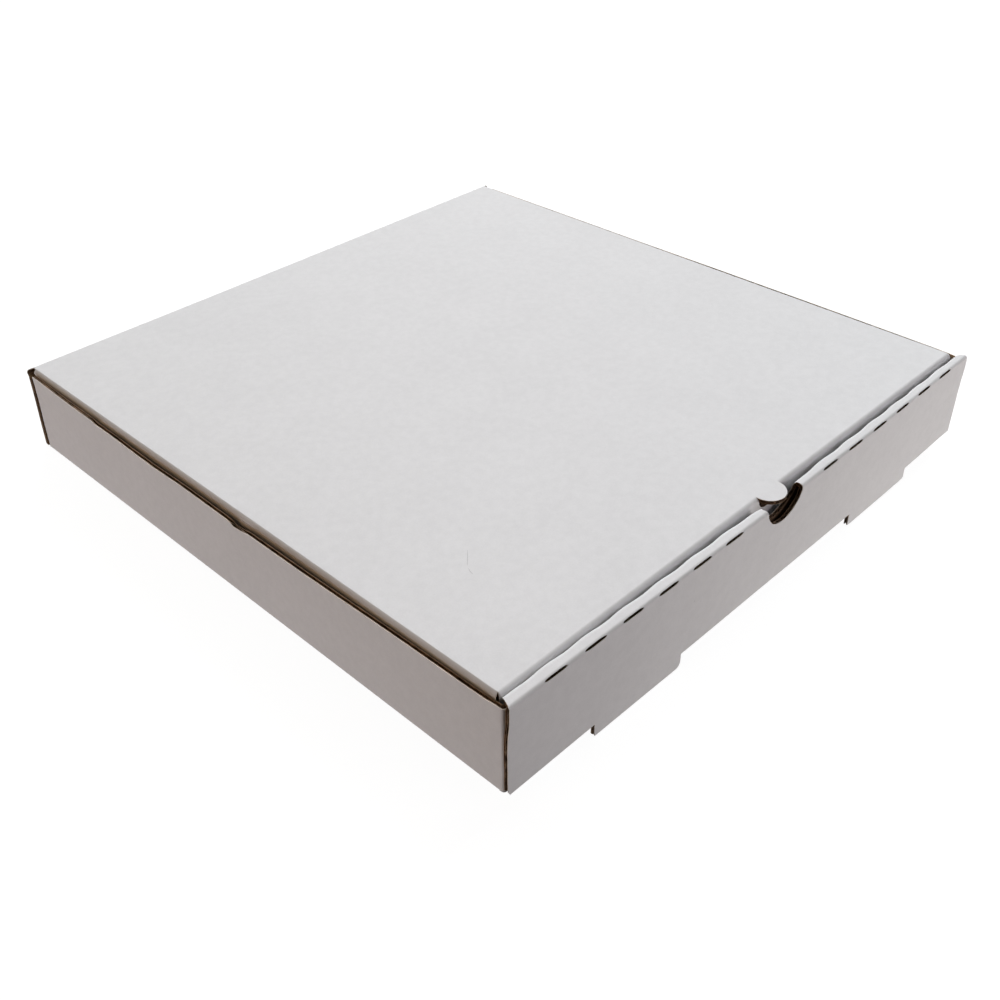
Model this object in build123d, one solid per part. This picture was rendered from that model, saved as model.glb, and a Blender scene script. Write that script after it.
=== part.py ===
from build123d import *
import os
from math import radians, tan

# Closed box, measured outside; the height is from the underside of the base to the top of the lid
outside_width = 305.0
outside_depth = 309.0
outside_height = 41.0

# Board, and the outer radii of its folds
board = 1.8
ply_gap = 0.15
base_fold = 1.0
roll_fold = 2.0
corner_fold = 2.0
lid_fold = 2.0
hinge_fold = 2.0
tight_inside = 0.2

# Front wall: inner panel, thumb notch, perforated crease, lock slots with their feet and tabs
inner_panel_inset = 3.4
notch_radius = 12.0
notch_lift = 0.7
slit_margin = 16.4
slit_notch_gap = 12.0
slit_pitch = 19.5
slit_length = 10.4
slit_width = 0.8
foot_spans = ((43.8, 93.4), (213.6, 261.8))
foot_drop = 6.2
foot_end_radius = 2.6
foot_square_radius = 0.5
lock_slot_depth = 5.4
lock_tab_inset = 1.8
lock_tab_drop = 3.2
lock_tab_radius = 1.2

# Side walls and their corner flaps
corner_flap_length = 46.0
corner_flap_drop = 1.2
corner_flap_taper = 5.0

# Lid: clearances to the tray, side flaps, tuck flap and thumb tab
lid_clearance = 0.35
hinge_gap = 0.3
side_flap_depth = 33.0
side_flap_taper = 0.21
side_flap_rear_gap = 3.2
side_flap_radius = 7.0
tuck_flap_depth = 33.0
tuck_flap_lean = 5.0
tuck_flap_end_gap = 1.6
tuck_flap_taper = 0.12
tuck_flap_radius = 9.0
tab_radius = 7.8
half_moon_lift = 1.0

# One overrun for every cutting tool
overrun = 1.0

# Places worked out from the sizes above
half_width = outside_width / 2
half_depth = outside_depth / 2
wall_top = outside_height - board
front_stack = 3 * board + 2 * ply_gap
flap_face = board + ply_gap
inner_half_width = half_width - inner_panel_inset
lid_half_width = half_width - board - lid_clearance
lid_front = -half_depth + front_stack + lid_clearance
tuck_flap_half_width = lid_half_width - tuck_flap_end_gap
foot_ends = [(start - half_width, end - half_width) for start, end in foot_spans]
SECTION = Plane.YZ
CROSS = Plane.XZ


def block(x_range, y_range, z_range):
    """A box between three pairs of coordinates."""
    spans = [x_range, y_range, z_range]
    sizes = [high - low for low, high in spans]
    middle = [(high + low) / 2 for low, high in spans]
    return Pos(*middle) * Box(*sizes)


def prism(plane, face, start, end):
    """A flat outline pushed along the plane's normal, from one offset to another."""
    return extrude(plane.offset(start) * face, amount=end - start)


def shape(points, radii):
    """A closed outline with one corner radius for each point."""
    return make_face(FilletPolyline(points, radius=radii, close=True))


def folded_board(outer_face, outer_radii):
    """The section of a board whose outer face runs through the points, with its thickness on the left."""
    points = [Vector(*point) for point in outer_face]
    runs = [(after - before).normalized() for before, after in zip(points, points[1:])]
    normals = [Vector(-run.Y, run.X) for run in runs]
    inner_face = [points[0] + normals[0] * board]
    for point, before, after in zip(points[1:], normals, normals[1:]):
        inner_face.append(point + (before + after) * (board / (1 + before.dot(after))))
    inner_face.append(points[-1] + normals[-1] * board)
    inner_radii = [max(radius - board, tight_inside) for radius in outer_radii]
    radii = [0, *outer_radii, 0, 0, *reversed(inner_radii), 0]
    return shape([*points, *reversed(inner_face)], radii)


def mirrored(solid):
    """The solid and its mirror image across the middle of the box."""
    return solid + mirror(solid, about=Plane.YZ)


def beyond_hinge(side, shift):
    """One side of the slanted cut that parts the lid from the rear wall at the crease."""
    reach = 3 * hinge_fold
    corner = (half_depth, outside_height)
    low = (corner[0] - reach, corner[1] - reach)
    high = (corner[0] + reach, corner[1] + reach)
    third = (low[0], high[1]) if side == "lid" else (high[0], low[1])
    wedge = prism(SECTION, make_face(Polyline(low, high, third, close=True)),
                  -half_width - overrun, half_width + overrun)
    return Pos(0, shift, -shift) * wedge


def tray_band():
    """Inner panel, top strip, outer front panel, base and rear wall: one long board, seen from the side."""
    inner_face = -half_depth + front_stack
    outer_face = [
        (inner_face, flap_face),
        (inner_face, outside_height),
        (-half_depth, outside_height),
        (-half_depth, 0),
        (half_depth, 0),
        (half_depth, outside_height),
        (half_depth - 2 * hinge_fold, outside_height),
    ]
    radii = [roll_fold, roll_fold, base_fold, base_fold, hinge_fold]
    band = prism(SECTION, folded_board(outer_face, radii), -half_width, half_width)
    return band - beyond_hinge("lid", hinge_gap / 8 ** 0.5)


def inner_panel_ends():
    """What is trimmed off so that the inner panel fits between the side walls."""
    outer_edge = -half_depth + board
    crease = -half_depth + front_stack - board
    behind = -half_depth + front_stack + overrun
    outline = make_face(Polyline(
        (-half_width - overrun, outer_edge),
        (-half_width, outer_edge),
        (-inner_half_width, crease),
        (-inner_half_width, behind),
        (-half_width - overrun, behind),
        close=True,
    ))
    return mirrored(prism(Plane.XY, outline, flap_face, outside_height + overrun))


def base_corner_cuts():
    """The relief along each side of the base, where the side walls' own folds take over."""
    return mirrored(block(
        (-half_width - overrun, -half_width + corner_fold),
        (-half_depth + board, half_depth - board),
        (-overrun, flap_face),
    ))


def side_walls():
    """Base and side walls, seen from the front, between the corner folds."""
    outer_face = [(-half_width, wall_top), (-half_width, 0), (half_width, 0), (half_width, wall_top)]
    flat_end = half_depth - flap_face - corner_fold
    return prism(CROSS, folded_board(outer_face, [base_fold, base_fold]), -flat_end, flat_end)


def corner_wraps():
    """A side wall with its two corner flaps, seen from above, repeated on the other side."""
    flap_end = -half_width + corner_flap_length
    flap_line = half_depth - flap_face
    outer_face = [
        (flap_end, flap_line),
        (-half_width, flap_line),
        (-half_width, -flap_line),
        (flap_end, -flap_line),
    ]
    wrap = prism(Plane.XY, folded_board(outer_face, [corner_fold, corner_fold]), 0, wall_top)
    flat_end = flap_line - corner_fold
    fold_edge = -half_width + corner_fold
    wrap -= block((-half_width - overrun, fold_edge), (-flat_end, flat_end), (-overrun, base_fold))
    for side in (-1, 1):
        near, far = sorted((side * (flat_end - overrun), side * half_depth))
        flap_trim = [
            (fold_edge, flap_face),
            (flap_end + overrun, flap_face + corner_flap_taper),
            (flap_end + overrun, -overrun),
            (fold_edge, -overrun),
        ]
        wrap -= prism(CROSS, make_face(Polyline(*flap_trim, close=True)), -far, -near)
        top_trim = [
            (fold_edge, wall_top - ply_gap),
            (flap_end + overrun, wall_top - corner_flap_taper),
            (flap_end + overrun, wall_top + overrun),
            (fold_edge, wall_top + overrun),
        ]
        wrap -= prism(CROSS, make_face(Polyline(*top_trim, close=True)), -far, -near)
    wrap -= block(
        (-half_width - overrun, flap_end + overrun),
        (flat_end, half_depth),
        (wall_top - corner_flap_drop, wall_top + overrun),
    )
    return mirrored(wrap)


def lock_slots():
    """The two slots that the feet leave in the base."""
    return [block(
        ends,
        (-half_depth + board, -half_depth + board + lock_slot_depth),
        (-overrun, board + ply_gap / 2),
    ) for ends in foot_ends]


def feet():
    """The two tongues that hang below the front wall, square at one end and rounded at the other."""
    made = []
    for start, end in foot_ends:
        outline = shape(
            [(start, board + ply_gap), (start, -foot_drop), (end, -foot_drop), (end, board + ply_gap)],
            [0, foot_square_radius, foot_end_radius, 0],
        )
        made.append(prism(CROSS, outline, half_depth - board, half_depth))
    return made


def lock_tabs():
    """The inner panel's two tabs, which go down through the slots behind the feet."""
    inner_face = half_depth - front_stack
    made = []
    for start, end in foot_ends:
        low = start + lock_tab_inset
        high = end - lock_tab_inset
        outline = shape(
            [(low, 2 * flap_face), (low, -lock_tab_drop), (high, -lock_tab_drop), (high, 2 * flap_face)],
            [0, lock_tab_radius, lock_tab_radius, 0],
        )
        made.append(prism(CROSS, outline, inner_face, inner_face + board))
    return made


def thumb_notch():
    """The half-round hole through the whole front wall."""
    disc = Pos(0, outside_height + notch_lift) * Circle(notch_radius)
    return prism(CROSS, disc, half_depth - front_stack - ply_gap, half_depth + overrun)


def perforations():
    """The slits along the outer crease of the top strip, on both sides of the notch."""
    room = half_width - notch_radius - slit_margin - slit_notch_gap
    count = 1 + int((room - slit_length) / slit_pitch)
    on_fold = roll_fold * (1 - 1 / 2 ** 0.5)
    made = []
    for index in range(count):
        middle = -half_width + slit_margin + slit_length / 2 + index * slit_pitch
        slit = extrude(SlotOverall(slit_length, slit_width), amount=board, both=True)
        placed = Pos(middle, -half_depth + on_fold, outside_height - on_fold) * Rot(45, 0, 0) * slit
        made.append(mirrored(placed))
    return made


def tray():
    """Everything below the lid's crease."""
    solid = tray_band() - inner_panel_ends() - base_corner_cuts()
    solid = solid - lock_slots()
    solid = solid + side_walls() + corner_wraps() - lock_slots()
    solid = solid + feet() + lock_tabs()
    solid = solid - thumb_notch() - perforations()
    return solid


def beyond_lid_edges(plane, edge, start, end):
    """Everything outside the lid's rounded top edges, seen along one direction."""
    low = -foot_drop
    inside = shape(
        [(-edge, low), (edge, low), (edge, outside_height), (-edge, outside_height)],
        [0, 0, lid_fold, lid_fold],
    )
    reach = half_depth + overrun
    high = outside_height + overrun
    sheet = make_face(Polyline((-reach, low), (reach, low), (reach, high), (-reach, high), close=True))
    return prism(plane, sheet - inside, start, end)


def lid_band():
    """Lid panel and tuck flap, seen from the side."""
    lean = tuck_flap_depth * tan(radians(tuck_flap_lean))
    outer_face = [
        (half_depth, outside_height - 2 * hinge_fold),
        (half_depth, outside_height),
        (lid_front, outside_height),
        (lid_front + lean, outside_height - tuck_flap_depth),
    ]
    section = folded_board(outer_face, [hinge_fold, lid_fold])
    band = prism(SECTION, section, -half_width, half_width)
    band -= beyond_lid_edges(CROSS, lid_half_width, hinge_fold - half_depth, half_depth)
    side = (tuck_flap_half_width, half_width + overrun)
    beside = block(side, (-half_depth, half_depth - hinge_fold), (0, outside_height + overrun))
    return band - mirrored(beside) - beyond_hinge("tray", -hinge_gap / 8 ** 0.5)


def tuck_flap_trim():
    """What is cut off the ends of the tuck flap: a gap at the corner, a taper and a rounded lower corner."""
    low = outside_height - tuck_flap_depth
    fold_line = outside_height - lid_fold
    high_half = tuck_flap_half_width
    low_half = high_half - tuck_flap_taper * tuck_flap_depth
    kept = shape(
        [(-low_half, low), (low_half, low), (high_half, fold_line), (-high_half, fold_line)],
        [tuck_flap_radius, tuck_flap_radius, 0, 0],
    )
    sheet = make_face(Polyline(
        (-half_width, low - board), (half_width, low - board),
        (half_width, fold_line), (-half_width, fold_line), close=True,
    ))
    lean = tuck_flap_depth * tan(radians(tuck_flap_lean)) + board
    return prism(CROSS, sheet - kept, -lid_front - lean - overrun, -lid_front + overrun)


def side_flaps():
    """The lid's two side flaps with the rounded folds that carry them, seen from the front."""
    outer_face = [
        (lid_half_width, outside_height - side_flap_depth),
        (lid_half_width, outside_height),
        (-lid_half_width, outside_height),
        (-lid_half_width, outside_height - side_flap_depth),
    ]
    front = lid_front + lid_fold
    rear = half_depth - hinge_fold
    low = outside_height - side_flap_depth
    slope = side_flap_taper * (side_flap_depth - board)
    rear_edge = half_depth - 2 * flap_face - side_flap_rear_gap
    strips = prism(CROSS, folded_board(outer_face, [lid_fold, lid_fold]), -rear, -lid_front)
    outline = shape(
        [
            (lid_front, outside_height),
            (lid_front, wall_top),
            (front, wall_top),
            (front + slope, low),
            (rear_edge - slope, low),
            (rear_edge, wall_top),
            (rear, wall_top),
            (rear, outside_height),
        ],
        [0, 0, 0, side_flap_radius, side_flap_radius, 0, 0, 0],
    )
    flaps = strips & prism(SECTION, outline, -half_width, half_width)
    flaps -= beyond_lid_edges(SECTION, -lid_front, -half_width, half_width)
    inner = tuck_flap_half_width
    return flaps - block((-inner, inner), (-half_depth, half_depth), (0, outside_height + overrun))


def half_moon():
    """The hole that the thumb tab leaves in the tuck flap."""
    disc = Pos(0, outside_height + half_moon_lift) * Circle(tab_radius)
    return prism(CROSS, disc, -lid_front - lid_fold, -lid_front + overrun)


def thumb_tab():
    """The half disc that stays in the plane of the lid."""
    centre = lid_front + lid_fold
    disc = Pos(0, centre) * Circle(tab_radius)
    front_half = Pos(0, centre - tab_radius) * Rectangle(2 * tab_radius, 2 * tab_radius)
    return prism(Plane.XY, disc & front_half, wall_top, outside_height)


def lid():
    """The lid panel with its flaps and tab."""
    return lid_band() - tuck_flap_trim() + side_flaps() - half_moon() + thumb_tab()


def main():
    """Stands the box on its feet and writes one file for each node."""
    os.makedirs("parts", exist_ok=True)
    raised = Pos(0, 0, foot_drop)
    for name, solid in {"tray": tray(), "lid": lid()}.items():
        export_step(raised * solid, f"parts/{name}.step")


main()
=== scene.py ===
from bisect import bisect_left, bisect_right
from math import cos, pi, radians, sin, tan

import bmesh
import bpy
import numpy as np
from mathutils import Euler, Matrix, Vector
from mathutils.kdtree import KDTree


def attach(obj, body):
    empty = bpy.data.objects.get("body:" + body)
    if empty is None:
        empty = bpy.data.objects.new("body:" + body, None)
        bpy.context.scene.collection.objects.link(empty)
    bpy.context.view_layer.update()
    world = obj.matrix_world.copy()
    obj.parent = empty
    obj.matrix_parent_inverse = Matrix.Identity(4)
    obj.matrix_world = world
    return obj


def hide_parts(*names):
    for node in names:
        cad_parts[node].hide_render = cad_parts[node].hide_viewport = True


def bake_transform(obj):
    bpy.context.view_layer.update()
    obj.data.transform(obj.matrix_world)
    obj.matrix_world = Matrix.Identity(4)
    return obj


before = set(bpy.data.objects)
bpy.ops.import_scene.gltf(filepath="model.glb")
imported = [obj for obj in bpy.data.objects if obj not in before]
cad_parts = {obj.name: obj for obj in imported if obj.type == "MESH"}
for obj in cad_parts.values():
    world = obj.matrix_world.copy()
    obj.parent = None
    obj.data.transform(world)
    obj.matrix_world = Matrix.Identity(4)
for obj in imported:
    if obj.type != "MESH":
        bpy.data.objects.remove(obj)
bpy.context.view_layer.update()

# Sizes in millimetres, as in the part's source; x and y from the middle, z from the base's underside
PER_METRE = 1000
WIDTH, DEPTH, HEIGHT = 305.0, 309.0, 41.0
HW, HD = WIDTH / 2, DEPTH / 2
BOARD, PLY_GAP = 1.8, 0.15
STACK = 3 * BOARD + 2 * PLY_GAP
FLAP_FACE = BOARD + PLY_GAP
WALL_GAP, CUT_GAP = 0.3, 0.25
WALL_TOP = HEIGHT - BOARD - WALL_GAP

# Folds: the white faces' radii, how far a zone reaches from its corner, and the brown faces' least radius
BASE_FOLD, ROLL_FOLD, INNER_FOLD, CORNER_FOLD, LID_FOLD, HINGE_FOLD = 0.5, 1.5, 2.1, 1.3, 2.0, 1.7
LID_SIDE_FOLD, LID_SIDE_BEVEL = 1.5, 0.6
ZONE, HINGE_ZONE = 2.2, 3.2
LEAST_BEND, BEND_POINTS, BEND_CUTS = 0.25, 25, 11

# Front wall: inner panel, thumb notch, slits in the crease, feet, slots and lock tabs
INNER_INSET, FRONT_BASE = 3.4, 12.0
INNER_HW = HW - INNER_INSET
NOTCH_R, NOTCH_LIFT, NOTCH_SHIFT, NOTCH_END, NOTCH_POINTS = 12.3, 1.7, 0.5, 19, 37
NOTCH_CHORD = NOTCH_R - 0.03
SLIT_MARGIN, SLIT_PITCH, SLIT_LENGTH, SLIT_WIDTH, SLITS = 16.2, 19.5, 11.3, 1.05, 6
SLIT_DROP, SLIT_POINTS, SLIT_BLUNT, SLIT_TAPER = 0.25, 13, 6, 0.8
FOOT_SPANS = ((43.8, 93.4), (213.6, 261.8))
FOOT_DROPS, FOOT_RADII, FOOT_SQUARE_R = ((5.75, 6.2), (5.9, 5.0)), (2.6, 1.4), 0.5
FOOT_DROP = max(max(pair) for pair in FOOT_DROPS)
SLOT_DEPTH = 5.4
TAB_INSET, TAB_DROP, TAB_R = 1.8, 3.2, 1.2

# The strip's ends: places across and along the band, from where the side of a panel meets a crease, and
# how far along the band the straight sides begin
RIGHT_INNER_END = ((0.0, -0.6), (0.35, 0.9), (1.3, 2.6))
RIGHT_OUTER_END = ((-1.0, -0.9), (-0.55, 0.6), (-0.2, 3.2))
RIGHT_SHOULDER = 9.0
LEFT_OUTER_END = ((-0.1, 1.9), (0.15, -0.3))
LEFT_INNER_END = ((0.75, 3.4), (1.5, 1.85), (2.1, 0.2))
LEFT_SHOULDER = 2.5
# The front panel's left cut: how far it reaches past the straight line, by height
LEFT_END = ((2, -0.05), (8, 0.04), (12, -0.06), (15, 0.08), (18, 0.0), (22, 0.08), (25, -0.1), (29.6, 0.04),
            (31.5, -0.06), (33, 0.06), (36, 0.05))

# Side walls and their corner flaps; a wall is flat as far as FLAT_END from the middle
CORNER_FLAP, CORNER_FLAP_DROP, CORNER_FLAP_TAPER, REAR_GAP = 46.0, 1.2, 5.0, 1.0
CORNER_LIFT, CORNER_BACK, CORNER_IN = 0.12, 0.4, 0.5
FRONT_BEND_TOP, FRONT_BEND_END, REAR_BEND_TOP = ((-0.25, 0.4), (0.0, -0.9)), 0.3, (-0.2, 0.8)
FLAT_END = HD - FLAP_FACE - ZONE
# The left wall's worn top edge: its height over the straight line, by the place from the front
LEFT_WORN = ((60, 0), (120, 0), (134.5, 0), (140.4, -1.0), (144.5, -1.35), (146.5, -0.3), (150, 0),
             (182, 0.15), (200, -0.1), (220, 0), (247, 0), (249.5, 0.65))
LEFT_REAR_LIFT = 0.65

# Lid: panel, side flaps, tuck flap and thumb tab
LID_GAP, HINGE_INSET, TUCK_INSET, FLAP_REAR_GAP = 0.35, 1.4, 1.6, 3.2
LID_HW = HW - BOARD - LID_GAP
LID_FRONT = -HD + STACK + LID_GAP
HINGE_HW = LID_HW - HINGE_INSET
FLAP_DEPTH, FLAP_TAPER, FLAP_R = 33.0, 0.21, 7.0
TUCK_HW = LID_HW - TUCK_INSET
TUCK_LEAN, TUCK_TAPER, TUCK_R = radians(5.0), 0.12, 9.0
THUMB_R, THUMB_SHIFT, THUMB_LINE, MOON_POINTS, TAB_POINTS = 7.3, 1.7, 1.2, 31, 37
# The cuts between its flaps: places across and along the lid, from the corners where they begin
TUCK_SHOULDER, TUCK_ROOT = 3.0, (-0.1, 0.3)
TUCK_CUT = ((-0.1, 3.2), (-0.3, 2.5), (-0.9, 1.5), (-1.6, 0.4), (-0.7, 0.72), (0.3, 0.95))
FLAP_CUT = ((0.0, 1.0), (1.5, 0.9), (3.5, 0.1))
HINGE_CUT = ((0.0, 1.6), (-0.6, 0.5))
CREASE_CUT, CREASE_SHOULDER = ((0.0, 0.0), (-0.2, 1.8), (-1.3, 3.0), (-2.6, 3.6)), 4.0

# Board: a white liner, a fluted sheet and a brown liner, with the number of each material; the fluting
# colour is the medium's brown darkened as painted shade, and it also covers the liners' inner faces so the
# hollows in the cut edges read dark
LINER, MEDIUM, PITCH, WAVE_STEPS, WRAP_PHASE = 0.27, 0.2, 3.3, 8, 1.0
WHITE, KRAFT, LIP, FLUTE_AND_SHADE = 0, 1, 2, 3
# The lid turns along a line this far up the crease, shifted back and slanted with it, in a short step
HINGE_TURN, CREASE_SHIFT, CREASE_SLANT, TURN_LENGTH = 1.65, 1.1, 0.0072, 0.05

# Meshes: the distance between their lines, and how far from a cut edge the flutes are drawn
FRONT_STEP, FRONT_RISE, INNER_RISE, FOOT_STEP, FOOT_LINES = 3, 5, 9, 2.5, (0.0, -3.0)
BASE_STEP, BASE_RUN, REAR_RISE, REAR_LINES = 15, 20, 8, (34.8, 36, 36.6, 37.2)
SIDE_STEP, WRAP_STEP, WALL_LINES = 6, 9, (4, 9, 14, 19, 24, 28, 31, 32.5, 34, 35.5, 37, 38)
LID_STEP, FLAP_LINES, TUCK_STEP, TAB_STEP, TAB_LINES, CREASE_STEP = 20, (30, 20), 8, 2, (2, 4, 6), 12
FRONT_NEAR, FOLD_NEAR, EDGE_NEAR, ALL_NEAR = 3.2, 4.0, 5.0, 20.0
# The decimals that are kept, the least distance from a line to a corner, the least area of a cell,
# the points on a rounded corner, and the angle from which an edge is sharp
DIGITS, CLOSEST, SMALLEST, CORNER_POINTS, SHARP_ANGLE = 5, 0.03, 1e-7, 7, radians(35)


class Fold:
    """A folded board seen edge on: its white and brown faces by length along the white face."""

    def __init__(self, points, radii, zones, bevel=0.0):
        points = [np.array(point, float) for point in points]
        runs = [(b - a) / np.linalg.norm(b - a) for a, b in zip(points, points[1:])]
        normals = [np.array((-run[1], run[0])) for run in runs]
        lengths, outer, inner = [0.0], [points[0]], [points[0] + normals[0] * BOARD]
        self.zones, self.lines, self.reach = [], [], zones
        for k, (radius, reach) in enumerate(zip(radii, zones), 1):
            before, after, n0, n1 = runs[k - 1], runs[k], normals[k - 1], normals[k]
            corner = points[k]
            inside = corner + (n0 + n1) * BOARD / (1 + n0 @ n1)
            white = self.bend(corner, before, after, n0, radius, bevel, corner - reach * before,
                              corner + reach * after)
            brown = self.bend(inside, before, after, n0, max(radius - BOARD, LEAST_BEND), bevel,
                              corner - reach * before + n0 * BOARD, corner + reach * after + n1 * BOARD)
            cuts, total = self.fractions(white)
            start = lengths[-1] + float(np.linalg.norm(white[0] - outer[-1]))
            for fraction in cuts:
                lengths.append(start + fraction * total)
                outer.append(self.along(white, fraction))
                inner.append(self.along(brown, fraction))
            self.zones.append((start, start + total))
            self.lines += [start + fraction * total for fraction in cuts]
        lengths.append(lengths[-1] + float(np.linalg.norm(points[-1] - outer[-1])))
        outer.append(points[-1])
        inner.append(points[-1] + normals[-1] * BOARD)
        self.lengths, self.outer, self.inner = np.array(lengths), np.array(outer), np.array(inner)

    @staticmethod
    def bend(corner, before, after, normal, radius, bevel, first, last):
        """A dense line through one fold of one face, part way from a round to a bevel."""
        turn = np.arccos(np.clip(before @ after, -1, 1))
        tangent = radius * tan(turn / 2)
        start, stop = corner - tangent * before, corner + tangent * after
        centre = start + normal * radius
        curved = []
        for a in np.linspace(0, turn, BEND_POINTS):
            round_point = centre - normal * radius * cos(a) + before * radius * sin(a)
            curved.append(round_point * (1 - bevel) + (start + (stop - start) * a / turn) * bevel)
        return np.array([first, *curved, last])

    @staticmethod
    def fractions(line):
        """Where a fold is divided, as parts of its length on the white face, and that length."""
        steps = np.linalg.norm(np.diff(line, axis=0), axis=1)
        total = float(steps.sum())
        first, last = steps[0] / total, 1 - steps[-1] / total
        cuts = [0.0, *np.linspace(first, last, BEND_CUTS), 1.0]
        return sorted(set(np.round(cuts, 6))), total

    @staticmethod
    def along(line, fraction):
        """The point at a fraction of a line's length."""
        steps = np.concatenate([[0], np.cumsum(np.linalg.norm(np.diff(line, axis=0), axis=1))])
        place = fraction * steps[-1]
        return np.array([np.interp(place, steps, line[:, i]) for i in (0, 1)])

    def before(self, corner, distance):
        """The length at which the board is a distance short of a corner, counted from 1."""
        return self.zones[corner - 1][0] - (distance - self.reach[corner - 1])

    def after(self, corner, distance):
        """The length at which the board is a distance past a corner."""
        return self.zones[corner - 1][1] + (distance - self.reach[corner - 1])

    def middle(self, corner):
        """The length in the middle of a corner's zone."""
        return sum(self.zones[corner - 1]) / 2

    def place(self, length, depth):
        """Points at a length along the white face and a depth into the board."""
        share = np.asarray(depth) / BOARD
        out = []
        for i in (0, 1):
            white = np.interp(length, self.lengths, self.outer[:, i])
            brown = np.interp(length, self.lengths, self.inner[:, i])
            out.append(white + (brown - white) * share)
        return out


def segments(loop):
    """The sides of a closed outline, each as its two ends."""
    return zip(loop, loop[1:] + loop[:1])


def rounded(corners):
    """A closed flat outline whose corners are (u, v) or (u, v, radius)."""
    out = []
    count = len(corners)
    for i, corner in enumerate(corners):
        point = np.array(corner[:2], float)
        radius = corner[2] if len(corner) > 2 else 0
        if not radius:
            out.append(tuple(point))
            continue
        back = np.array(corners[i - 1][:2], float) - point
        on = np.array(corners[(i + 1) % count][:2], float) - point
        back, on = back / np.linalg.norm(back), on / np.linalg.norm(on)
        half = np.arccos(np.clip(back @ on, -1, 1)) / 2
        reach = radius / tan(half)
        centre = point + (back + on) / np.linalg.norm(back + on) * radius / sin(half)
        first, last = point + back * reach - centre, point + on * reach - centre
        a0, a1 = np.arctan2(first[1], first[0]), np.arctan2(last[1], last[0])
        sweep = (a1 - a0 + pi) % (2 * pi) - pi
        out += [tuple(centre + radius * np.array((cos(a), sin(a))))
                for a in np.linspace(a0, a0 + sweep, CORNER_POINTS)]
    return out


def arc(centre, radius, start, end, points):
    """Points on part of a circle; the angles are in degrees."""
    return [(centre[0] + radius * cos(radians(a)), centre[1] + radius * sin(radians(a)))
            for a in np.linspace(start, end, points)]


def beside(u, v, places):
    """Points at small distances from one place."""
    return [(u + du, v + dv) for du, dv in places]


def mirrored(side):
    """A closed outline from its right half, whose points may have radii."""
    return side + [(-point[0], *point[1:]) for point in reversed(side)]


def grid(low, high, step):
    """Even lines between two values, the ends left out."""
    count = max(1, round((high - low) / step))
    return [low + (high - low) * i / count for i in range(1, count)]


def split(poly, line):
    """A convex polygon's parts below and above a line of constant v."""
    low, high = [], []
    for (u0, v0), (u1, v1) in segments(poly):
        if v0 <= line:
            low.append((u0, v0))
        if v0 >= line:
            high.append((u0, v0))
        if (v0 < line < v1) or (v1 < line < v0):
            cross = (round(u0 + (u1 - u0) * (line - v0) / (v1 - v0), DIGITS), line)
            low.append(cross)
            high.append(cross)
    return low, high


def area(poly):
    """A flat polygon's area."""
    return abs(sum(a[0] * b[1] - b[0] * a[1] for a, b in segments(poly))) / 2


def column_ends(loops, u_lines):
    """The u of every point of the outline, and of every line that isn't too close to one."""
    corners = sorted({u for loop in loops for u, _ in loop})

    def distance(u):
        k = bisect_left(corners, u)
        return min(abs(u - corners[i]) for i in (max(k - 1, 0), min(k, len(corners) - 1)))

    lines = {round(u, DIGITS) for u in u_lines if corners[0] < u < corners[-1]}
    return sorted(set(corners) | {u for u in lines if distance(u) > CLOSEST})


def columns(loops, ends, v_lines):
    """The inside of an outline as cells between neighbouring ends, cut at the lines of constant v."""
    edges = []
    for loop in loops:
        for a, b in segments(loop):
            if a[0] != b[0]:
                edges.append((a, b) if a[0] < b[0] else (b, a))
    edges.sort(key=lambda edge: edge[0][0])
    polys = []
    for ua, ub in zip(ends, ends[1:]):
        middle = (ua + ub) / 2
        live = []
        for (u0, v0), (u1, v1) in edges:
            if u0 > middle:
                break
            if u1 > middle:
                slope = (v1 - v0) / (u1 - u0)
                live.append((v0 + slope * (middle - u0), round(v0 + slope * (ua - u0), DIGITS),
                             round(v0 + slope * (ub - u0), DIGITS)))
        live.sort()
        for (_, low_a, low_b), (_, high_a, high_b) in zip(live[::2], live[1::2]):
            rest = [(ua, low_a), (ub, low_b), (ub, high_b), (ua, high_a)]
            bottom, top = min(low_a, low_b), max(high_a, high_b)
            for line in v_lines[bisect_right(v_lines, bottom):bisect_left(v_lines, top)]:
                part, rest = split(rest, line)
                polys.append(part)
            polys.append(rest)
    return polys


def outline_tree(loops):
    """A search tree of points about a millimetre apart on the outlines."""
    marks = []
    for loop in loops:
        for a, b in segments(loop):
            count = max(2, int(max(abs(a[0] - b[0]), abs(a[1] - b[1]))) + 1)
            marks += [(a[0] + (b[0] - a[0]) * f, a[1] + (b[1] - a[1]) * f)
                      for f in np.linspace(0, 1, count)]
    tree = KDTree(len(marks))
    for i, (u, v) in enumerate(marks):
        tree.insert((u, v, 0), i)
    tree.balance()
    return tree


def is_near(poly, tree, near):
    """Whether a cell's middle or one of its ends is within a distance of the outline."""
    u = sum(point[0] for point in poly) / len(poly)
    low, high = min(point[1] for point in poly), max(point[1] for point in poly)
    return min(tree.find((u, v, 0))[2] for v in (low, (low + high) / 2, high)) <= near


def joined(polys):
    """The cells with their neighbours' corners added on the sides that they share."""
    on_line = {}
    for poly in polys:
        for u, v in poly:
            on_line.setdefault(u, set()).add(v)
    on_line = {u: sorted(vs) for u, vs in on_line.items()}
    out = []
    for poly in polys:
        full = []
        for (u0, v0), (u1, v1) in segments(poly):
            full.append((u0, v0))
            if u0 == u1:
                vs = on_line[u0]
                between = vs[bisect_right(vs, min(v0, v1)):bisect_left(vs, max(v0, v1))]
                full += [(u0, v) for v in (between if v1 > v0 else reversed(between))]
        out.append(full)
    return out


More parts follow.
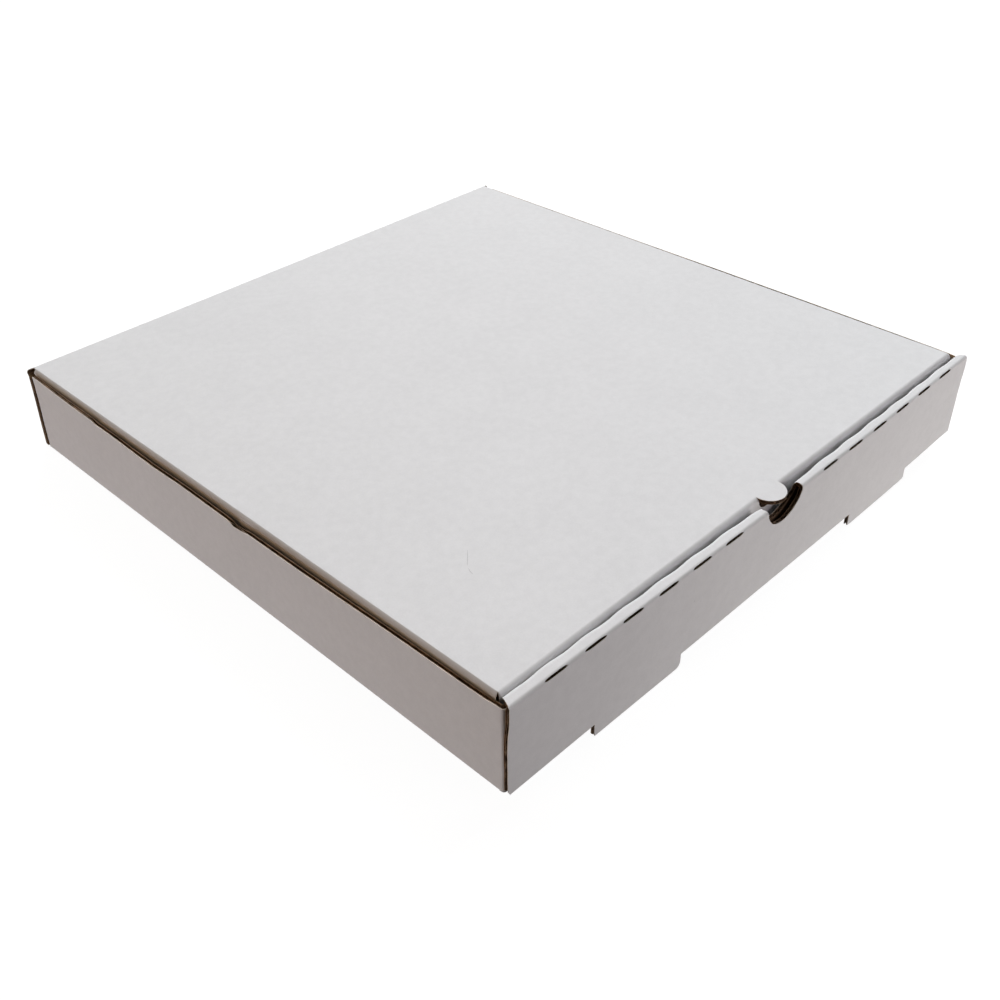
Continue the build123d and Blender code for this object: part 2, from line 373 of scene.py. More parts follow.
def cells(loops, u_lines, v_lines, near=None):
    """An outline with holes, divided at lines of constant u and v; with near, only close to the outline."""
    loops = [[(round(u, DIGITS), round(v, DIGITS)) for u, v in loop] for loop in loops]
    tree = outline_tree(loops) if near else None
    kept = []
    for poly in columns(loops, column_ends(loops, u_lines), sorted({round(v, DIGITS) for v in v_lines})):
        clean = [p for p, q in segments(poly) if p != q]
        if len(clean) < 3 or area(clean) < SMALLEST:
            continue
        if near is None or is_near(clean, tree, near):
            kept.append(clean)
    return joined(kept)


def level(depth):
    """A layer's face at one depth in the board."""
    return lambda u: 0 * u + depth


def wave(side, phase):
    """The fluted sheet's face toward the white (-1) or the brown (1) liner."""
    swing = (BOARD - 2 * LINER - MEDIUM) / 2
    return lambda u: BOARD / 2 + swing * np.cos(2 * pi * (u + phase) / PITCH) + side * MEDIUM / 2


class Mesh:
    """Vertices, faces and material numbers collected for one piece."""

    def __init__(self):
        self.points, self.faces, self.slots = [], [], []
        self.count = 0

    def layer(self, polys, mapping, top, bottom, top_slot, bottom_slot, side_slot):
        """A closed layer over flat cells; top and bottom give the depth at u."""
        index = {}
        for poly in polys:
            for point in poly:
                index.setdefault(point, len(index))
        flat = np.array(list(index))
        u, v = flat[:, 0], flat[:, 1]
        points = np.concatenate([mapping(u, v, top(u)), mapping(u, v, bottom(u))])
        under = len(index)
        faces, slots, directed = [], [], set()
        for poly in polys:
            ids = [index[point] for point in poly]
            directed.update(segments(ids))
            faces += [ids, [under + i for i in reversed(ids)]]
            slots += [top_slot, bottom_slot]
        for a, b in directed:
            if (b, a) not in directed:
                faces.append([b, a, under + a, under + b])
                slots.append(side_slot)
        volume = 0.0
        for ids in faces:
            p = points[ids]
            volume += float(np.einsum("ij,ij->", np.cross(p[1:-1] - p[0], p[2:] - p[0]),
                                      np.broadcast_to(p[0], p[1:-1].shape)))
        if volume < 0:
            faces = [ids[::-1] for ids in faces]
        self.faces += [[self.count + i for i in ids] for ids in faces]
        self.slots += slots
        self.points.append(points)
        self.count += len(points)

    def board(self, loops, mapping, u_lines, v_lines, near, phase=0.0):
        """The board's three layers over one outline; the flutes run along v, only near the cut edges."""
        sheet = cells(loops, u_lines, v_lines)
        # The liners' inner faces and the fluted sheet take the darkened fluting colour: painted shade in
        # the hollows between the liners
        self.layer(sheet, mapping, level(0), level(LINER), WHITE, FLUTE_AND_SHADE, LIP)
        self.layer(sheet, mapping, level(BOARD - LINER), level(BOARD), FLUTE_AND_SHADE, KRAFT, KRAFT)
        us = [u for loop in loops for u, _ in loop]
        step = PITCH / WAVE_STEPS
        lines = [i * step for i in range(int(min(us) / step) - 1, int(max(us) / step) + 2)]
        fluted = cells(loops, lines, v_lines, near)
        self.layer(fluted, mapping, wave(-1, phase), wave(1, phase), FLUTE_AND_SHADE, FLUTE_AND_SHADE, FLUTE_AND_SHADE)

    def piece(self, name, body, slot, materials, replaces=None):
        """The finished piece, riding on its body when one is given."""
        points = np.concatenate(self.points) / PER_METRE
        points[:, 2] += FOOT_DROP / PER_METRE
        mesh = bpy.data.meshes.new(name)
        mesh.from_pydata(points.tolist(), [], self.faces)
        for material in materials:
            mesh.materials.append(material)
        mesh.polygons.foreach_set("material_index", np.array(self.slots, np.int32))
        mesh.polygons.foreach_set("use_smooth", np.ones(len(self.faces), bool))
        mesh.set_sharp_from_angle(angle=SHARP_ANGLE)
        mesh.update()
        obj = bpy.data.objects.new(name, mesh)
        bpy.context.scene.collection.objects.link(obj)
        if body:
            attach(obj, body)
        if replaces:
            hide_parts(replaces)
        return obj


def smooth(value, low, high):
    """0 below low, 1 above high and a soft step between."""
    t = np.clip((value - low) / (high - low), 0, 1)
    return t * t * (3 - 2 * t)


def curve(places):
    """A smooth line through a few measured places."""
    xs, ys = np.array(places, float).T
    slopes = np.gradient(ys, xs)

    def value(x):
        x = np.clip(x, xs[0], xs[-1])
        k = np.clip(np.searchsorted(xs, x) - 1, 0, len(xs) - 2)
        width = xs[k + 1] - xs[k]
        t = (x - xs[k]) / width
        a, b, p, q = ys[k], ys[k + 1], slopes[k] * width, slopes[k + 1] * width
        return a + t * p + t * t * (3 * (b - a) - 2 * p - q) + t ** 3 * (2 * (a - b) + p + q)

    return value


# How far the used walls stand outward, by the place along each: crease, strip, foot, side walls, rear edge
FRONT_TOP = curve(((-152.5, 0.0), (-130, 0.15), (-110, 0.4), (-91, 0.65), (-71, 0.9), (-51, 1.1),
                   (-32, 1.3), (0, 1.45), (35, 1.35), (55, 1.3), (74, 1.2), (93, 0.95), (113, 0.7),
                   (131, 0.45), (152.5, 0.2)))
STRIP_BACK = curve(((-152.5, -0.2), (-137, -0.14), (-122, 0.0), (-102, 0.36), (-82, 0.66), (-62, 0.96),
                    (-42, 1.26), (-26, 1.6), (-18, 1.95), (-13, 2.5), (0, 2.75), (13, 2.65), (18, 2.4),
                    (23, 2.05), (38, 1.84), (58, 1.76), (78, 1.6),
                    (98, 1.5), (118, 1.34), (138, 1.16), (152.5, 1.2)))
FRONT_FOOT = curve(((-152.5, 0.2), (-114, 0.28), (-84, 0.42), (-54, 0.66), (-6, 0.76), (30, 0.93),
                    (55, 0.92), (114, 0.9), (125, 0.7), (138, 0.4), (152.5, 0.25)))
LEFT_TOP = curve(((-154.5, 0.1), (-134, 0.35), (-114, 0.5), (-94, 0.75), (-74, 1.15), (-54, 1.5),
                  (-34, 1.65), (-14, 1.7), (6, 1.6), (26, 1.5), (46, 1.7), (61, 1.55), (76, 1.2),
                  (96, 1.1), (111, 1.0), (126, 0.75), (136, 0.45), (154.5, 0.1)))
LEFT_FOOT = curve(((-154.5, 0.38), (154.5, 0.05)))
RIGHT_TOP = curve(((-154.5, 0.5), (-134, 0.85), (-104, 1.1), (-75, 1.25), (-44, 1.25), (-14, 1.25),
                   (16, 1.0), (46, 0.8), (76, 0.78), (100, 0.75), (130, 0.65), (154.5, 0.45)))
REAR_EDGE = curve(((-152.5, 0.2), (-50, 0.5), (0, 1.0), (50, 1.5), (100, 2.0), (152.5, 2.4)))

# Other signs of use: the strip's ripple between slits, and how far walls are racked sideways or lean inward
STRIP_WAVE, RACK, RACK_BACK, REAR_LEAN, LOWEST_SHARE = 0.25, 1.1, 0.5, 2.15, -0.2
# Where each movement begins and where it is complete, by x, y or z
FRONT_Y, STRIP_Y = (-HD + 8, -HD + 40), (-HD + 1.5, -HD + 5)
RACK_Y, REAR_Y = (-HD + 8, -HD + 20), (HD - 14, HD - 4)
STRIP_Z, RACK_Z, REAR_Z, REAR_TOP_Z = (HEIGHT - 9, HEIGHT - 1), (24, 36), (0, 36), (35.8, 37.8)
SIDE_X, RACK_X, REAR_X, REAR_END_X = (HW - 9, HW - 5), (HW - 14, HW), (-120, 60), (-HW + 1.5, -HW + 9)
END_LINES = [-HW + reach for reach in (1.5, 3.4, 5.3, 7.2, 9)]
# The same for the strip's ripple and the front corner flaps' upper bend, by the distance from a side,
# the middle or the front
RIPPLE_SIDE, RIPPLE_MIDDLE = (4, 14), (8, 17)
BEND_SIDE, BEND_FRONT, BEND_Z = (2.5, 6), (3, 12), (31, 38.5)


def out_of_square(x, y):
    """The rear edge runs back a little toward the right."""
    return y + REAR_EDGE(x) * np.clip((y + HD) / DEPTH, 0, 1) ** 2


def rear_pull(x):
    """How much of the rear wall's inward lean there is at a place along it."""
    return REAR_LEAN * (1 - smooth(x, *REAR_X))


def end_pull(x):
    """The part of that lean that goes on into the hinge crease, at its left end only."""
    return rear_pull(x) * (1 - smooth(x, *REAR_END_X))


def in_tray(x, y, z):
    """The tray's points where the real walls stand."""
    height = np.clip(z / HEIGHT, LOWEST_SHARE, 1.0)
    front = 1 - smooth(y, *FRONT_Y)
    strip = smooth(z, *STRIP_Z) * smooth(y, *STRIP_Y) * front
    top = FRONT_TOP(x) + (STRIP_BACK(x) - FRONT_TOP(x)) * strip
    above = np.clip(height, 0, 1)
    left, right = LEFT_FOOT(y) * (1 - above) + LEFT_TOP(y) * above, RIGHT_TOP(y) * above
    lean = np.where(x < 0, left, right) * smooth(np.abs(x), *SIDE_X)
    y = y - front * (FRONT_FOOT(x) + (top - FRONT_FOOT(x)) * height)
    from_slit = np.abs(x) - (HW - SLIT_MARGIN - SLIT_LENGTH / 2)
    ripple = np.cos(2 * pi * from_slit / SLIT_PITCH) * smooth(HW - np.abs(x), *RIPPLE_SIDE)
    ripple = ripple * smooth(np.abs(x), *RIPPLE_MIDDLE)
    y = y + STRIP_WAVE * ripple * strip
    y = y - rear_pull(x) * smooth(z, *REAR_Z) * smooth(y, *REAR_Y)
    return np.stack([x + np.sign(x) * lean, out_of_square(x, y), z], axis=1)


# Front wall, base and rear wall seen from the side, with ends past the last edges
INNER_FACE = -HD + STACK
INNER_SPARE, REAR_SPARE = 10, 5
BAND = Fold(
    [(INNER_FACE, -INNER_SPARE), (INNER_FACE, HEIGHT), (-HD, HEIGHT), (-HD, 0), (HD, 0),
     (HD, HEIGHT + REAR_SPARE)],
    [INNER_FOLD, ROLL_FOLD, BASE_FOLD, BASE_FOLD], [ZONE] * 4)


def on_band(x, v, t):
    """A place across the band, a length along it and a depth into its board."""
    y, z = BAND.place(v, t)
    points = in_tray(x, y, z)
    rack = RACK * smooth(z, *RACK_Z) - RACK_BACK * smooth(x, *RACK_X)
    points[:, 0] += rack * (1 - smooth(y, *RACK_Y))
    points[:, 1] += (rear_pull(x) - end_pull(x)) * smooth(z, *REAR_TOP_Z) * smooth(y, *REAR_Y)
    return points


def on_front(x, z, t):
    """A place on the front wall's outer face, and a depth into its board."""
    return in_tray(x, -HD + t, z)


def inner_v(z):
    """The band's length at a height on the inner front panel."""
    return BAND.before(1, HEIGHT - z)


def outer_v(z):
    """The band's length at a height on the outer front panel."""
    return BAND.after(2, HEIGHT - z)


def front_outline():
    """The rolled front wall laid flat, from its lock tabs to the first fold of the base."""
    low, crease_in, crease_out = inner_v(FLAP_FACE), BAND.middle(1), BAND.middle(2)
    end, step = BAND.after(3, FRONT_BASE), BAND.after(3, FLAP_FACE + CUT_GAP)
    outline = [(-INNER_HW, low)]
    for start, stop in FOOT_SPANS:
        a, b, tip = start - HW + TAB_INSET, stop - HW - TAB_INSET, inner_v(-TAB_DROP)
        outline += [(a, low), (a, tip, TAB_R), (b, tip, TAB_R), (b, low)]
    outline.append((INNER_HW, low))
    outline += beside(INNER_HW, crease_in, RIGHT_INNER_END)
    outline += beside(HW, crease_out, RIGHT_OUTER_END)
    outline += [(HW, outer_v(HEIGHT - RIGHT_SHOULDER)), (HW, step), (HW - ZONE, step), (HW - ZONE, end),
                (-HW + ZONE, end), (-HW + ZONE, step)]
    outline += [(-HW - reach, outer_v(z)) for z, reach in LEFT_END]
    outline += beside(-HW, crease_out, LEFT_OUTER_END)
    outline += beside(-HW, crease_in, LEFT_INNER_END)
    outline.append((-INNER_HW, crease_in - LEFT_SHOULDER))
    return rounded(outline)


def notch():
    """The thumb notch, cut through the outer panel, the strip and the inner panel."""
    rim = arc((0, NOTCH_LIFT), NOTCH_R, -NOTCH_END, NOTCH_END - 180, NOTCH_POINTS)
    inner, outer = BAND.zones[0][1], BAND.zones[1][0]
    hole = [(u, outer_v(HEIGHT + dv)) for u, dv in rim]
    hole += [(-NOTCH_CHORD, outer), (-NOTCH_CHORD, inner)]
    hole += [(u, inner_v(HEIGHT + dv)) for u, dv in reversed(rim)]
    hole += [(NOTCH_CHORD, inner), (NOTCH_CHORD, outer)]
    return [(u + NOTCH_SHIFT, v) for u, v in hole]


def slits():
    """The slits of the perforation in the outer crease, blunt at both ends."""
    v = BAND.middle(2) + SLIT_DROP
    holes = []
    for side in (-1, 1):
        for i in range(SLITS):
            middle = side * (HW - SLIT_MARGIN - SLIT_LENGTH / 2 - i * SLIT_PITCH)
            rim = [(middle + f * SLIT_LENGTH / 2, SLIT_WIDTH / 2 * (1 - f ** SLIT_BLUNT) ** SLIT_TAPER)
                   for f in np.linspace(-1, 1, SLIT_POINTS)]
            holes.append([(u, v - half) for u, half in rim] + [(u, v + half) for u, half in rim[-2:0:-1]])
    return holes


def slots():
    """The slots in the base that the lock tabs go into."""
    top, bottom = BAND.zones[2][0], BAND.after(3, BOARD + SLOT_DEPTH)
    return [[(start - HW, top), (stop - HW, top), (stop - HW, bottom), (start - HW, bottom)]
            for start, stop in FOOT_SPANS]


def front_wall():
    """Inner panel, top strip, outer panel and first fold of the base, with the two feet."""
    mesh = Mesh()
    lines = BAND.lines + grid(BAND.zones[1][1], BAND.zones[2][0], FRONT_RISE)
    lines += grid(inner_v(FLAP_FACE), BAND.zones[0][0], INNER_RISE)
    mesh.board([front_outline(), notch(), *slits(), *slots()], on_band, grid(-HW, HW, FRONT_STEP), lines,
               FRONT_NEAR)
    for (start, stop), (left, right), radius in zip(FOOT_SPANS, FOOT_DROPS, FOOT_RADII):
        a, b = start - HW, stop - HW
        foot = rounded([(a, ZONE), (a, -left, FOOT_SQUARE_R), (b, -right, radius), (b, ZONE)])
        mesh.board([foot], on_front, grid(a, b, FOOT_STEP), FOOT_LINES, ALL_NEAR)
    return mesh


def base_and_rear():
    """The rest of the base, and the rear wall up to the hinge crease."""
    start, step = BAND.after(3, FRONT_BASE), BAND.after(3, DEPTH - FLAP_FACE - CUT_GAP)
    top = BAND.after(4, HEIGHT - HINGE_ZONE)
    outline = mirrored([(HW - ZONE, start), (HW - ZONE, step), (HW, step), (HW, top)])
    lines = BAND.lines + grid(start, BAND.zones[3][0], BASE_RUN) + grid(BAND.zones[3][1], top, REAR_RISE)
    lines += [BAND.after(4, z) for z in REAR_LINES]
    mesh = Mesh()
    mesh.board([outline], on_band, grid(-HW, HW, BASE_STEP) + END_LINES, lines, EDGE_NEAR)
    return mesh


# Spare lengths past the last edges of a side wall, its base and its corner flaps
WALL_SPARE, BASE_SPARE, WRAP_SPARE, FLAP_SPARE = 6, 20, 8, 10


def front_corner(top):
    """A front corner flap: its board seen from above, and its outline by height and length."""
    line = HD - FLAP_FACE
    path = Fold([(-HW, -FLAT_END + WRAP_SPARE), (-HW, -line), (-HW + CORNER_FLAP + FLAP_SPARE, -line)],
                [CORNER_FOLD], [ZONE])
    start, bend, stop = path.before(1, line - FLAT_END), path.zones[0][1], path.after(1, CORNER_FLAP)
    outline = [(CORNER_LIFT, start), (CORNER_LIFT, bend), (FLAP_FACE, bend),
               (FLAP_FACE + CORNER_FLAP_TAPER, stop), (WALL_TOP - CORNER_FLAP_TAPER, stop),
               (WALL_TOP - PLY_GAP, bend + FRONT_BEND_END),
               *beside(top, path.middle(1), FRONT_BEND_TOP), (top, start)]
    return path, outline


def rear_corner(top):
    """The same for a rear corner flap."""
    line = HD - FLAP_FACE - REAR_GAP
    path = Fold([(-HW + CORNER_FLAP + FLAP_SPARE, line), (-HW, line), (-HW, FLAT_END - WRAP_SPARE)],
                [CORNER_FOLD], [ZONE])
    start, bend, stop = path.before(1, CORNER_FLAP), path.zones[0][0], path.after(1, line - FLAT_END)
    flap_top = WALL_TOP - CORNER_FLAP_DROP
    outline = [(FLAP_FACE + CORNER_FLAP_TAPER, start), (FLAP_FACE, bend), (0, bend), (0, stop), (top, stop),
               *beside(top, path.middle(1), [REAR_BEND_TOP]), (flap_top, bend),
               (flap_top - CORNER_FLAP_TAPER, start)]
    return path, outline


def side_wall(side, top_line):
    """A side wall with its fold from the base and its two corner flaps; side is -1 left and 1 right."""
    wall = Fold([(-HW, HEIGHT + WALL_SPARE), (-HW, 0), (-HW + BASE_SPARE, 0)], [BASE_FOLD], [ZONE])

    def on_side(x, y, z):
        reach = 1 - smooth(y + HD, *BEND_FRONT)
        reach = reach * (1 - smooth(x + HW, *BEND_SIDE)) * smooth(z, *BEND_Z)
        return in_tray(-side * (x + CORNER_IN * reach), y + CORNER_BACK * reach, z)

    def on_wall(u, y, t):
        x, z = wall.place(u, t)
        return on_side(x, y, z)

    mesh = Mesh()
    low = wall.zones[0][1]
    outline = [(low, -FLAT_END), *((wall.before(1, z), y) for y, z in top_line), (low, FLAT_END)]
    lines = grid(-FLAT_END, FLAT_END, SIDE_STEP) + [y for y, _ in top_line]
    mesh.board([outline], on_wall, wall.lines + [wall.before(1, z) for z in WALL_LINES], lines, EDGE_NEAR)

    for path, outline in (front_corner(top_line[0][1]), rear_corner(top_line[-1][1])):
        def on_wrap(z, w, t, path=path):
            x, y = path.place(w, t)
            return on_side(x, y, z)

        mesh.board([outline], on_wrap, WALL_LINES, path.lines + grid(0, path.lengths[-1], WRAP_STEP),
                   FOLD_NEAR, WRAP_PHASE)
    return mesh


# Lid: one line across it and one along it, from the hinge to the tuck flap, with ends past the last edges
ACROSS_SPARE, HINGE_SPARE, TUCK_SPARE = 60, 20, 50
ACROSS = Fold([(LID_HW, HEIGHT - ACROSS_SPARE), (LID_HW, HEIGHT), (-LID_HW, HEIGHT),
               (-LID_HW, HEIGHT - ACROSS_SPARE)],
              [LID_SIDE_FOLD, LID_SIDE_FOLD], [ZONE, ZONE], LID_SIDE_BEVEL)
CENTRE = ACROSS.middle(1) / 2 + ACROSS.middle(2) / 2
ALONG = Fold([(HD, HEIGHT - HINGE_SPARE), (HD, HEIGHT), (LID_FRONT, HEIGHT),
              (LID_FRONT + TUCK_SPARE * tan(TUCK_LEAN), HEIGHT - TUCK_SPARE)],
             [HINGE_FOLD, LID_FOLD], [HINGE_ZONE, ZONE])


def on_lid(s, v, t):
    """A length across the lid from its middle, one along it and a depth into its board."""
    x, drop_x = ACROSS.place(CENTRE - s, t)
    y, drop_y = ALONG.place(v, t)
    return np.stack([x, out_of_square(x, y), drop_x + drop_y - (HEIGHT - t)], axis=1)


def on_tab(x, y, t):
    """The same where the lid is flat, by x and y."""
    return np.stack([x, out_of_square(x, y), HEIGHT - t], axis=1)


def half_moon(v, side, points):
    """The thumb tab's curve from a root line, toward higher (1) or lower (-1) v."""
    start = 90 - 90 * side
    return [(THUMB_SHIFT + side * THUMB_R, v),
            *arc((THUMB_SHIFT, v + side * THUMB_LINE), THUMB_R, start, start + 180, points),
            (THUMB_SHIFT - side * THUMB_R, v)]


def lid():
    """Lid panel with its side flaps, tuck flap and thumb tab."""
    fold_end, rear = CENTRE - ACROSS.zones[0][0], ALONG.zones[0][1]
    fold_start, fold_stop = ALONG.zones[1]

    def flap_s(z):
        return fold_end + HEIGHT - ZONE - z

    def top_v(y):
        return ALONG.before(2, y - LID_FRONT)

    flap_low, slope = flap_s(HEIGHT - FLAP_DEPTH), FLAP_TAPER * FLAP_DEPTH
    root_y, rear_y = LID_FRONT + ZONE, HD - 2 * FLAP_FACE - FLAP_REAR_GAP
    tuck_low = fold_stop + FLAP_DEPTH - ZONE
    side = [(TUCK_HW - TUCK_TAPER * FLAP_DEPTH, tuck_low, TUCK_R), (TUCK_HW, fold_stop + TUCK_SHOULDER)]
    side += beside(LID_HW, fold_stop, [TUCK_ROOT])
    side += beside(LID_HW, fold_start, TUCK_CUT)
    side += beside(fold_end, fold_start, FLAP_CUT)
    side += [(flap_low, top_v(root_y + slope), FLAP_R), (flap_low, top_v(rear_y - slope), FLAP_R),
             (fold_end, top_v(rear_y))]
    side += beside(fold_end, rear, HINGE_CUT)
    side.append((HINGE_HW, rear))

    mesh = Mesh()
    lines = ALONG.lines + grid(rear, fold_start, LID_STEP) + grid(fold_stop, tuck_low, TUCK_STEP)
    across = [CENTRE - a for a in ACROSS.lines] + grid(-fold_end, fold_end, LID_STEP)
    across += [sign * flap_s(z) for z in FLAP_LINES for sign in (-1, 1)]
    mesh.board([rounded(mirrored(side)), half_moon(fold_start, 1, MOON_POINTS)], on_lid, across, lines,
               EDGE_NEAR)
    mesh.board([half_moon(root_y, -1, TAB_POINTS)], on_tab,
               grid(THUMB_SHIFT - THUMB_R, THUMB_SHIFT + THUMB_R, TAB_STEP),
               [root_y - reach for reach in TAB_LINES], ALL_NEAR)
    return mesh


def crease():
    """The crease strip that joins the lid to the rear wall."""
    start, stop = ALONG.zones[0]

    def on_crease(x, v, t):
        y, z = ALONG.place(v, t)
        y = y - end_pull(x) * (1 - smooth(v, start, (start + stop) / 2))
        return np.stack([x, out_of_square(x, y), z], axis=1)

    half = beside(HW, start, CREASE_CUT) + [(HINGE_HW, start + CREASE_SHOULDER), (HINGE_HW, stop)]
    mesh = Mesh()
    mesh.board([mirrored(half)], on_crease, grid(-HW, HW, CREASE_STEP) + END_LINES, ALONG.lines, FOLD_NEAR)
    return mesh


# Marks of use, as the photo shows them: scratches on the lid as places and a width, and specks on the
# front wall as x, z and size
SCRATCHES = (
    (((-105.2, -88.5), (-107.2, -90.6), (-109.4, -92.8), (-111.5, -94.9)), 0.34),
    (((-112.4, -96.3), (-113.2, -98.0), (-113.5, -99.8)), 0.32),
)
SPECKS = ((-54.3, 23.9, 0.5), (-50.1, 21.3, 0.4))
SPECK_TILT, STROKE_END, STROKE_RISE, STROKE_SINK = 0.05, 0.25, 0.02, 0.05


def stroke(mesh, places, width, mapping):
    """A thin ribbon through a few places that tapers toward its ends."""
    places = np.array(places, float)
    run = np.gradient(places, axis=0)
    across = np.stack([-run[:, 1], run[:, 0]], axis=1) / np.linalg.norm(run, axis=1)[:, None]
    taper = np.sin(np.linspace(STROKE_END, pi - STROKE_END, len(places)))
    half = across * (width / 2 * taper)[:, None]
    a, b = [[tuple(point) for point in side.tolist()] for side in (places + half, places - half)]
    quads = [[a[i], b[i], b[i + 1], a[i + 1]] for i in range(len(places) - 1)]
    mesh.layer(quads, mapping, level(-STROKE_RISE), level(STROKE_SINK), 0, 0, 0)


def scratches():
    """The fine scratches in the lid's white face."""
    mesh = Mesh()
    for places, width in SCRATCHES:
        stroke(mesh, places, width, lambda x, y, t: np.stack([x, y, HEIGHT - t], axis=1))
    return mesh


def specks():
    """The small specks on the front wall."""
    mesh = Mesh()
    for x, z, size in SPECKS:
        stroke(mesh, [(x - size / 2, z), (x, z), (x + size / 2, z + SPECK_TILT)], size, on_front)
    return mesh


# Paper: noise scale, detail, spread and share of the mottle, for fine and coarse clouds and for fibres
EVEN, LONG_FIBRES = (1, 1, 1), (1, 0.25, 1)
FINE_CLOUDS, COARSE_CLOUDS, FIBRES = (260, 5, 0.15, 1.0), (28, 3, 0.15, 0.5), (1500, 2, 0.2, 0.8)
NOISE_ROUGHNESS, SPECULAR, RELIEF_DEPTH = 0.6, 0.15, 0.0002


def paper(name, colour, mottle, roughness, relief, fibres=EVEN):
    """A coated or bare paper surface: cloudy tone, short fibres and a faint relief."""
    material = bpy.data.materials.new(name)
    material.use_nodes = True
    nodes, links = material.node_tree.nodes, material.node_tree.links
    shader = nodes["Principled BSDF"]
    shader.inputs["Roughness"].default_value = roughness
    shader.inputs["Specular IOR Level"].default_value = SPECULAR
    place = nodes.new("ShaderNodeTexCoord")

    def noise(scale, detail, stretch):
        mapping = nodes.new("ShaderNodeMapping")
        mapping.inputs["Scale"].default_value = stretch
        links.new(place.outputs["Object"], mapping.inputs["Vector"])
        node = nodes.new("ShaderNodeTexNoise")
        node.inputs["Scale"].default_value = scale
        node.inputs["Detail"].default_value = detail
        node.inputs["Roughness"].default_value = NOISE_ROUGHNESS
        links.new(mapping.outputs["Vector"], node.inputs["Vector"])
        return node.outputs["Fac"]

    def cloud(base, value, spread, amount):
        ramp = nodes.new("ShaderNodeMapRange")
        ramp.inputs["From Min"].default_value = 0.5 - spread
        ramp.inputs["From Max"].default_value = 0.5 + spread
        ramp.inputs["To Min"].default_value = 1 - amount
        ramp.inputs["To Max"].default_value = 1 + amount
        links.new(value, ramp.inputs["Value"])
        scale = nodes.new("ShaderNodeVectorMath")
        scale.operation = "SCALE"
        if base is None:
            scale.inputs[0].default_value = colour
        else:
            links.new(base, scale.inputs[0])
        links.new(ramp.outputs["Result"], scale.inputs["Scale"])
        return scale.outputs["Vector"]

    tone = None
    for layer, stretch in ((FINE_CLOUDS, EVEN), (COARSE_CLOUDS, EVEN), (FIBRES, fibres)):
        scale, detail, spread, share = layer
        tone = cloud(tone, noise(scale, detail, stretch), spread, mottle * share)
    links.new(tone, shader.inputs["Base Color"])
    bump = nodes.new("ShaderNodeBump")
    bump.inputs["Strength"].default_value = relief
    bump.inputs["Distance"].default_value = RELIEF_DEPTH
    links.new(noise(700, 4, fibres), bump.inputs["Height"])
    links.new(bump.outputs["Normal"], shader.inputs["Normal"])
    return material


def box():
    """The whole box: four tray pieces, the marks, the lid and the crease that joins them."""
    board = (paper("white_liner", (0.665, 0.665, 0.675), mottle=0.022, roughness=0.62, relief=0.12),
             paper("kraft", (0.21, 0.14, 0.088), mottle=0.14, roughness=0.85, relief=0.3,
                   fibres=LONG_FIBRES),
             paper("liner_lip", (0.60, 0.53, 0.46), mottle=0.08, roughness=0.9, relief=0.3),
             # Fluting: the medium's brown, darkened as painted shade for the hollows in the cut edges
             paper("fluting_and_painted_shade", (0.2, 0.135, 0.086), mottle=0.55, roughness=0.9, relief=0.4))
    mark = paper("dark_mark", (0.5, 0.5, 0.51), mottle=0.05, roughness=0.8, relief=0.1)
    left_top = [(-FLAT_END, WALL_TOP), *((y - HD, WALL_TOP + lift) for y, lift in LEFT_WORN),
                (FLAT_END, WALL_TOP + LEFT_REAR_LIFT)]
    right_top = [(-FLAT_END, WALL_TOP), (FLAT_END, WALL_TOP)]

    front_wall().piece("front_wall", "tray", "tray_board", board, "tray")
    base_and_rear().piece("base_and_rear_wall", "tray", "tray_board", board, "tray")
    side_wall(-1, left_top).piece("left_side_wall", "tray", "tray_board", board, "tray")
    side_wall(1, right_top).piece("right_side_wall", "tray", "tray_board", board, "tray")
    scratches().piece("lid_scratches", "lid", "lid_board", (mark,))
    specks().piece("front_specks", "tray", "tray_board", (mark,))
    lid().piece("lid_panel", "lid", "lid_board", board, "lid")
    strip = crease().piece("hinge_crease", None, "lid_board", board)
    start = Vector((0, HD + CREASE_SHIFT - HINGE_TURN, HEIGHT - HINGE_ZONE + HINGE_TURN + FOOT_DROP))
    start = start / PER_METRE
    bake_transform(strip)


# Studio, in metres: area lamps as energy, colour, size and place, all turned to the box's middle
LAMPS = {
    "far_back": (232, (0.787, 0.897, 1), 3.68, (0.92, 7.36, 4.14)),
    "far_back_right": (529, (1, 0.907, 0.932), 3.68, (5.06, 5.06, 5.06)),
    "far_right": (424, (0.871, 0.976, 1), 3.68, (7.36, 0.92, 4.14)),
    "top_back": (3.34, (0.853, 1, 0.749), 1, (0.6, 0.6, 1.4)),
    "front": (3.95, (1, 0.898, 0.943), 0.8, (0.35, -1.15, 0.5)),
    "left": (2.85, (1, 0.64, 0.37), 0.8, (-1.15, 0.2, 0.5)),
    "low_left": (5.11, (0.93, 0.943, 1), 0.8, (-1, 0.3, -0.4)),
    "low_front": (1.33, (1, 0.97, 0.917), 0.4, (0.25, -0.5, -0.15)),
}
LAMP_AIM = Vector((0, 0, 0.02))
FLOOR_REACH, FLOOR_DROP, REAR_INSET = 12.0, 0.0001, 1.0
CAMERA_PLACE, CAMERA_TURN = (-0.33466, -0.33327, 0.31742), (53.539, 0.723, -45.776)
CAMERA_LENS, CAMERA_SENSOR, CAMERA_CLIP = 42.193, 36, 0.01


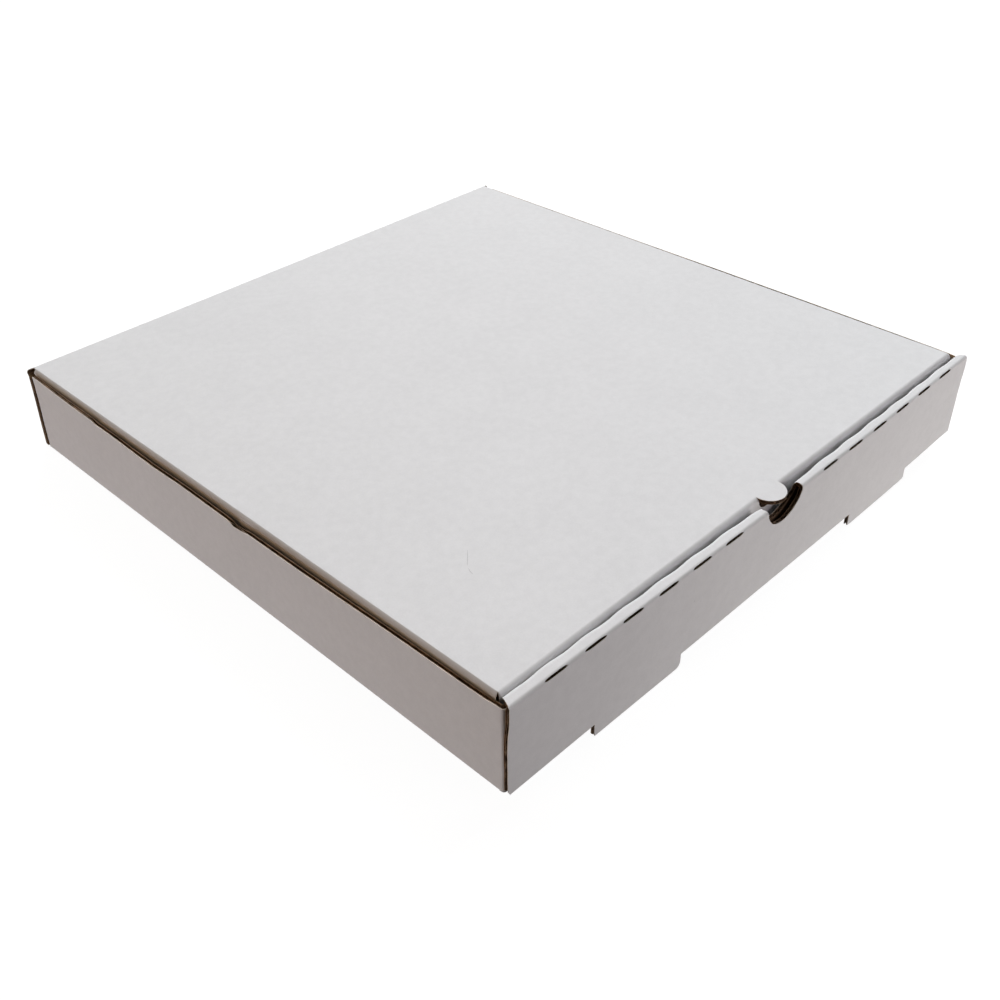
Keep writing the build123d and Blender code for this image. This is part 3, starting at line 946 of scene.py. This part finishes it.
def plain_surface(obj, diffuse, glow):
    """A pale surface that only the camera sees, so that it lights nothing."""
    material = bpy.data.materials.new(obj.name)
    material.use_nodes = True
    shader = material.node_tree.nodes["Principled BSDF"]
    shader.inputs["Base Color"].default_value = (diffuse, diffuse, diffuse, 1)
    shader.inputs["Roughness"].default_value = 1.0
    shader.inputs["Specular IOR Level"].default_value = 0.0
    shader.inputs["Emission Color"].default_value = (1, 1, 1, 1)
    shader.inputs["Emission Strength"].default_value = glow
    obj.data.materials.append(material)
    obj.visible_diffuse = obj.visible_glossy = obj.visible_transmission = obj.visible_shadow = False
    bpy.context.scene.collection.objects.link(obj)


def surroundings():
    """A floor under the feet and the rear edge, and a pale ball round everything."""
    reach = FLOOR_REACH
    mesh = bpy.data.meshes.new("floor")
    mesh.from_pydata([(-reach, -reach, 0), (reach, -reach, 0), (reach, reach, 0), (-reach, reach, 0)], [],
                     [(0, 1, 2, 3)])
    floor = bpy.data.objects.new("floor", mesh)
    floor.location = (0, -HD / PER_METRE, -FLOOR_DROP)
    floor.rotation_euler = (np.arctan2(FOOT_DROP, DEPTH - REAR_INSET), 0, 0)
    plain_surface(floor, diffuse=0.12, glow=0.955)
    mesh = bpy.data.meshes.new("backdrop")
    ball = bmesh.new()
    bmesh.ops.create_uvsphere(ball, u_segments=32, v_segments=16, radius=reach)
    ball.to_mesh(mesh)
    ball.free()
    plain_surface(bpy.data.objects.new("backdrop", mesh), diffuse=0.0, glow=1.1)


def light():
    """Soft lamps and a nearly dark world."""
    for name, (energy, colour, size, place) in LAMPS.items():
        data = bpy.data.lights.new(name, "AREA")
        data.energy, data.color, data.size = energy, colour, size
        lamp = bpy.data.objects.new(name, data)
        lamp.location = place
        lamp.rotation_euler = (LAMP_AIM - Vector(place)).to_track_quat("-Z", "Y").to_euler()
        bpy.context.scene.collection.objects.link(lamp)
    world = bpy.data.worlds.new("studio")
    world.use_nodes = True
    world.node_tree.nodes["Background"].inputs["Color"].default_value = (0.02, 0.02, 0.02, 1)
    bpy.context.scene.world = world
    bpy.context.scene.view_settings.view_transform = "Standard"


def camera():
    """The photograph's camera."""
    data = bpy.data.cameras.new("camera")
    data.lens, data.sensor_width, data.sensor_fit = CAMERA_LENS, CAMERA_SENSOR, "HORIZONTAL"
    data.clip_start = CAMERA_CLIP
    obj = bpy.data.objects.new("camera", data)
    obj.location = CAMERA_PLACE
    obj.rotation_euler = Euler([radians(angle) for angle in CAMERA_TURN])
    bpy.context.scene.collection.objects.link(obj)
    bpy.context.scene.camera = obj


box()
surroundings()
light()
camera()
